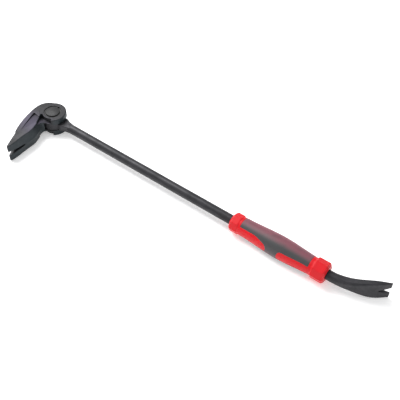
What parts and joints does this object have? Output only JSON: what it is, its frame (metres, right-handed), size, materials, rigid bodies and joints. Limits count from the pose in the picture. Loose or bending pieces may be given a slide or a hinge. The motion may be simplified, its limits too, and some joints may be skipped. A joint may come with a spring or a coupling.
{
  "type": "pry bar",
  "caption": "Indexing pry bar: push-button locking hub turns a curved nail-pulling claw; round shaft, two-colour grip and a bent straight claw.",
  "frame": {"origin": "centre of the locking hub, on the shaft's axis", "axes": "+X along the shaft from the hub to the straight claw, +Z along the hub's axis towards the release button, so the bar lies on its side"},
  "size_m": [0.6764, 0.1397, 0.038],
  "materials": {
    "forged_steel": "satin black oxide on forged steel, worn lighter at edges",
    "bright_steel": "machined and oiled steel",
    "grip_red": "moulded, satin",
    "grip_grey": "soft, matte"
  },
  "bodies": {
    "bar": {"bar": "forged_steel", "grip_core": "grip_red", "grip_overmould": "grip_grey", "thrust_washers": "bright_steel"},
    "head": {"claw_head": "forged_steel", "pivot_bush": "bright_steel", "bottom_cap": "forged_steel", "retaining_rings": "bright_steel", "spring_seat": "bright_steel"},
    "lock": {"release_button": "forged_steel", "lock_gear": "bright_steel", "return_spring": "bright_steel"}
  },
  "joints": [
    {"name": "head_index", "type": "hinge", "parent": "bar", "child": "head", "pos_m": [0, 0, 0], "axis": [0, 0, 1], "range_deg": [-180, 0]},
    {"name": "lock_button", "type": "slide", "parent": "bar", "child": "lock", "axis": [0, 0, -1], "range_m": [0, 0.0038], "stiffness_N_per_m": 3000, "springref_m": -0.004, "deforming": ["return_spring"]}
  ]
}
